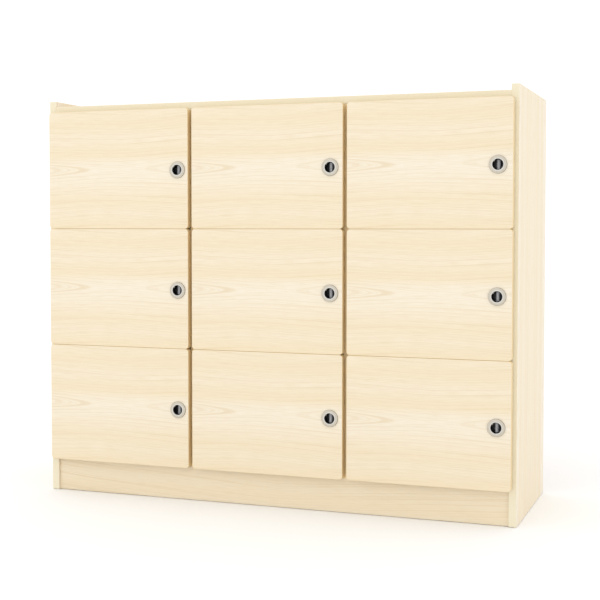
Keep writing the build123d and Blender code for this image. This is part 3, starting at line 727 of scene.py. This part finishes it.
class LOCKER_OT_locks(bpy.types.Operator):
    """Make the ring, sleeve, case, cover and coin chute of each lock"""
    bl_idname = "locker.locks"
    bl_label = "Coin locks"

    def execute(self, context):
        colours, segments = context.scene.locker_colours, context.scene.locker_sizes.turned_segments
        ring_finish = plated_metal("satin nickel plate", colours.ring_metal, 0.40, True)
        black = moulded_plastic("black moulded sleeve", colours.moulding, 0.55)
        case_finish = moulded_plastic("moulded case", colours.case, 0.5)
        steel = plated_metal("plated strip steel", colours.steel, 0.35)
        # Depths are from the door's front face, so the ring stands at negative depth.
        ring = turned([(12.5, 0.0), (12.5, -2.9), (12.7, -3.3), (13.1, -3.5), (14.2, -3.5), (14.55, -3.4),
                       (14.8, -3.1), (15.4, -3.08), (18.6, -3.0), (19.6, -2.7), (20.2, -2.1),
                       (20.5, -1.3), (20.5, 0.0)], segments)
        tab = prism([(-13.4, -2.0), (-11.0, -2.0), (-10.5, -1.5), (-10.5, 1.5), (-11.0, 2.0), (-13.4, 2.0)],
                    -3.1, -1.1)
        tab.transform(Matrix.Rotation(math.radians(45), 4, "Y"))
        tab.uv_layers.new(name="UVMap")
        sleeve = turned([(12.5, 18.0), (12.5, -2.2), (13.2, -2.2), (13.2, 0.1), (14.3, 0.1), (14.3, 18.0)],
                        segments)
        ring = joined([ring, tab])
        for door in DOORS:
            for name, mesh, finish in (("lock_ring", ring, ring_finish), ("lock_sleeve", sleeve, black)):
                piece(f"{name}_{door.tag}", placed(mesh, door.face), f"door_{door.tag}",
                      [finish], [f"coin_lock_{door.tag}"])
        case, cover, chute = lock_case_meshes()
        for door in DOORS:
            for name, mesh, finish, edge in (("lock_case", case, case_finish, 0.5),
                                             ("lock_cover", cover, case_finish, 0.4),
                                             ("coin_chute", chute, steel, 0.2)):
                piece(f"{name}_{door.tag}", placed(mesh, door.axis), f"door_{door.tag}",
                      [finish], [f"coin_lock_{door.tag}"], edge * MM)
        return {"FINISHED"}


def lock_case_meshes():
    """Case, cover and chute of a lock, in millimetres from its axis at the door's back face."""
    outline = rounded_outline(-43, 17, -60, 36, 3)
    case = carved(prism(outline, 0, 18), [
        prism(rounded_outline(-41, 15, -58, 34, 1), 2, 19),
        prism(rounded_outline(-6.06, 6.06, -6.06, 6.06, 6.05, 8), -1, 3),
        brick(14, 18, 8.8, 17.2, -8.2, 8.2), brick(-40, -12, 13.1, 16.6, -61, -57)])
    # The lid has a shallow sunk panel, a raised frame round the coin slot, and guide ribs inside.
    lid = prism(outline, 18, 20)
    sunk = prism(rounded_outline(-37, 11, -50, 14, 4), 19.5, 21)
    slot_frame = prism(rounded_outline(-41.8, -12.5, 20.5, 30.5, 2), 18.5, 20.9)
    slot = prism(rounded_outline(-40, -16, 24, 26.8, 1.39), 17, 22)
    lid = carved(carved(lid, [sunk]), [slot])
    frame_ring = carved(slot_frame, [prism(rounded_outline(-40.4, -15.6, 23.6, 27.2, 1.7), 17, 22)])
    ribs = [brick(-14.85, 15, 9.2, 18, z, z + 2.85) for z in (-11.0, 16.155)]
    cover = joined([lid, frame_ring, *ribs])
    trough = carved(brick(-41, -15, 12.1, 18, -50, 30), [brick(-40, -16, 13.1, 19, -51, 31)])
    return case, cover, trough


class LOCKER_OT_plugs(bpy.types.Operator):
    """Make the turning plug of each lock: a black recess with a half-round grip across it"""
    bl_idname = "locker.plugs"
    bl_label = "Lock plugs"

    def execute(self, context):
        colours, segments = context.scene.locker_colours, context.scene.locker_sizes.turned_segments
        black = moulded_plastic("black moulded plug", colours.moulding, 0.5)
        grip_finish = plated_metal("satin chrome grip", colours.grip_metal, 0.60, metallic=0.5)
        steel = shared("plated strip steel")
        core = turned([(POLE, 13.6), (10.6, 13.6), (11.2, 13.0), (12.1, 13.0), (12.42, 13.3), (12.42, 17.7),
                       (POLE, 17.7)], segments)
        spindle = turned([(POLE, 17.7), (6.0, 17.7), (6.0, 23.0), (12.6, 23.0), (13.0, 23.4), (13.0, 25.6),
                          (12.6, 26.0), (POLE, 26.0)], segments)
        pin = turned([(POLE, 26.0), (1.5, 26.0), (1.5, 29.9), (1.2, 30.2), (POLE, 30.2)], 24)
        pin.transform(Matrix.Translation((-7.5 * MM, 0.0, 7.5 * MM)))
        shapes = (("plug_core", core, black), ("plug_grip", grip_mesh(), grip_finish),
                  ("plug_cam", joined([spindle, pin]), steel))
        for door in DOORS:
            for name, mesh, finish in shapes:
                piece(f"{name}_{door.tag}", placed(mesh, door.face), f"plug_{door.tag}",
                      [finish], [f"lock_plug_{door.tag}"])
        return {"FINISHED"}


def grip_mesh():
    """Half-round bar across the plug, its ends following the bore and its crest falling off there."""
    shape = bmesh.new()
    reach, half, root, crest = 12.2, 4.8, 13.7, 6.0     # depths are from the door's front face
    end_length, end_drop, shoulder, arc_steps = 2.2, 1.6, 0.98, 14
    stations = [reach * math.sin(math.radians(a)) for a in range(-80, 81, 8)]
    loops = []
    for z in stations:
        wide = min(half, math.sqrt(reach ** 2 - z ** 2))
        fall = max(0.0, abs(z) - (reach - end_length)) / end_length
        top = crest + end_drop * fall ** 2
        points = [(-wide, root), (-wide, top + wide * shoulder)]
        points += [(wide * math.cos(a), top + wide * (1 - math.sin(a)))
                   for a in [math.pi - math.pi * i / arc_steps for i in range(1, arc_steps)]]
        points += [(wide, top + wide * shoulder), (wide, root)]
        loops.append([shape.verts.new((x * MM, d * MM, z * MM)) for x, d in points])
    for here, there in zip(loops, loops[1:]):
        for i in range(len(here)):
            k = (i + 1) % len(here)
            shape.faces.new((here[i], here[k], there[k], there[i]))
    for end in (loops[0], loops[-1]):
        shape.faces.new(end)
    return finished(shape)


class LOCKER_OT_fittings(bpy.types.Operator):
    """Finish the hinges, strike plates and bolts"""
    bl_idname = "locker.fittings"
    bl_label = "Hinges, strikes and bolts"

    def execute(self, context):
        colours = context.scene.locker_colours
        nickel = plated_metal("nickel plated steel", linear("D6D4CF"), 0.40, metallic=0.8)
        zinc = plated_metal("zinc plated steel", linear("C9CBCB"), 0.38)
        clothe(nickel, "hinge_arms", "hinge_plates", "strike_plates",
               *[f"hinge_cups_{door.tag}" for door in DOORS])
        clothe(zinc, "plate_screws", *[f"lock_bolt_{door.tag}" for door in DOORS])
        return {"FINISHED"}


class LOCKER_OT_screws(bpy.types.Operator):
    """Drive the screws of the hinge cups, lock covers, strike plates and back panel"""
    bl_idname = "locker.screws"
    bl_label = "Screws"

    def execute(self, context):
        tree = screw_tree(shared("zinc plated steel"))
        pan = {"Under Radius": 3.3 * MM, "Top Radius": 2.2 * MM, "Head Height": 1.4 * MM,
               "Recess Width": 2.6 * MM}
        sunk = {"Under Radius": 1.6 * MM, "Top Radius": 3.4 * MM, "Head Height": 1.7 * MM,
                "Recess Width": 3.2 * MM}
        left, back = Vector((-1.0, 0.0, 0.0)), Vector((0.0, 1.0, 0.0))
        for number, door in enumerate(DOORS):
            wings = [(cup + Vector((0.0, 1.0 * MM, side * 21 * MM)), back)
                     for cup in door.cups for side in (-1, 1)]
            lid = [(door.axis + Vector((x * MM, 20 * MM, z * MM)), back)
                   for x, z in ((-38.5, -55.5), (12.5, -55.5), (12.5, 31.5), (-9.0, 31.5))]
            mesh = grown(tree, {**pan, "Seed": number}, screw_points(wings + lid))
            piece(f"door_screws_{door.tag}", mesh, f"door_{door.tag}")
        seat = 1.65 * MM        # countersunk, with 0.05 mm of the head left proud so that it shows
        wall = context.scene.locker_sizes.lock_backset + seat
        strikes = [(door.axis + Vector((wall, 13.75 * MM, side * 20 * MM)), left)
                   for door in DOORS for side in (-1, 1)]
        mesh = grown(tree, {**sunk, "Seed": 20}, screw_points(strikes))
        piece("strike_screws", mesh, "carcass")
        low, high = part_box("back_panel")
        divider_low, divider_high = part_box("divider_right")
        upright = (divider_low.x + divider_high.x) / 2
        side_edge, end_edge = 4.5 * MM, 9 * MM
        columns = (low.x + side_edge, -upright, upright, high.x - side_edge)
        heights = [low.z + end_edge + (high.z - low.z - 2 * end_edge) * i / 6 for i in range(7)]
        spots = [(x, z) for x in columns for z in heights]
        spots += [(x * MM, z) for x in (-390, 0, 390) for z in heights[::2]]
        mesh = grown(tree, {**sunk, "Seed": 30},
                     screw_points([(Vector((x, high.y - seat, z)), back) for x, z in spots]))
        piece("back_panel_screws", mesh, "carcass")
        return {"FINISHED"}


class LOCKER_OT_stage(bpy.types.Operator):
    """Lay the floor and set the lights and the camera"""
    bl_idname = "locker.stage"
    bl_label = "Stage"

    def execute(self, context):
        scene = context.scene
        floor_mesh = bpy.data.meshes.new("studio_floor")
        reach = 14.0
        floor_mesh.from_pydata([(x * reach, y * reach, 0) for x, y in ((-1, -1), (1, -1), (1, 1), (-1, 1))],
                               [], [(0, 1, 2, 3)])
        floor = bpy.data.objects.new("studio_floor", floor_mesh)
        scene.collection.objects.link(floor)
        finish, tree, shader = new_material("matt white floor")
        feed(tree, shader, {"Base Color": linear("FCFCFC"), "Roughness": 0.85, "Specular IOR Level": 0.2})
        floor_mesh.materials.append(finish)
        world = bpy.data.worlds.new("white studio")
        world.use_nodes = True
        feed(world.node_tree, world.node_tree.nodes["Background"],
             {"Color": (1.0, 1.0, 1.0, 1.0), "Strength": 1.12})
        scene.world = world
        for name, size, power, place, target in (
                ("overhead softbox", 3.0, 4.6, (-0.6, -2.2, 3.4), (0.0, 0.0, 0.5)),
                ("left fill", 2.4, 1.5, (-3.2, -2.6, 1.6), (0.0, 0.0, 0.5))):
            lamp = bpy.data.lights.new(name, "AREA")
            lamp.shape = "SQUARE"
            lamp.size = size
            lamp.energy = power
            light = bpy.data.objects.new(name, lamp)
            scene.collection.objects.link(light)
            aim = Vector(target) - Vector(place)
            turn = aim.to_track_quat("-Z", "Y").to_matrix().to_4x4()
            light.matrix_world = Matrix.Translation(place) @ turn
        lens = bpy.data.cameras.new("camera")
        lens.sensor_width = 36.0
        lens.lens = 73.70
        lens.shift_x = 0.025
        lens.shift_y = -0.0359
        lens.clip_end = 50.0
        camera = bpy.data.objects.new("camera", lens)
        camera.location = (1.0654, -2.9477, 0.6819)
        camera.rotation_euler = (math.pi / 2 - 0.0425, 0.0, 0.3549)
        scene.collection.objects.link(camera)
        scene.camera = camera
        scene.view_settings.view_transform = "Standard"
        scene.view_settings.look = "None"
        return {"FINISHED"}


class LOCKER_PT_panel(bpy.types.Panel):
    """Sizes, colours and the steps that make the locker"""
    bl_idname = "LOCKER_PT_panel"
    bl_label = "Coin operated locker"
    bl_space_type = "VIEW_3D"
    bl_region_type = "UI"
    bl_category = "Locker"

    def draw(self, context):
        for group in (context.scene.locker_sizes, context.scene.locker_colours):
            box = self.layout.box()
            for name in group.__annotations__:
                box.prop(group, name)
        for step in STEPS:
            self.layout.operator(step.bl_idname)


STEPS = (LOCKER_OT_boards, LOCKER_OT_doors, LOCKER_OT_locks, LOCKER_OT_plugs, LOCKER_OT_fittings,
         LOCKER_OT_screws, LOCKER_OT_stage)
GROUPS = (LockerSizes, LockerColours)


def register():
    for item in (*GROUPS, *STEPS, LOCKER_PT_panel):
        bpy.utils.register_class(item)
    bpy.types.Scene.locker_sizes = PointerProperty(type=LockerSizes)
    bpy.types.Scene.locker_colours = PointerProperty(type=LockerColours)


def unregister():
    del bpy.types.Scene.locker_colours
    del bpy.types.Scene.locker_sizes
    for item in reversed((*GROUPS, *STEPS, LOCKER_PT_panel)):
        bpy.utils.unregister_class(item)


def main():
    register()
    bpy.ops.locker.boards()
    bpy.ops.locker.doors()
    bpy.ops.locker.locks()
    bpy.ops.locker.plugs()
    bpy.ops.locker.fittings()
    bpy.ops.locker.screws()
    bpy.ops.locker.stage()


if __name__ == "__main__":
    main()
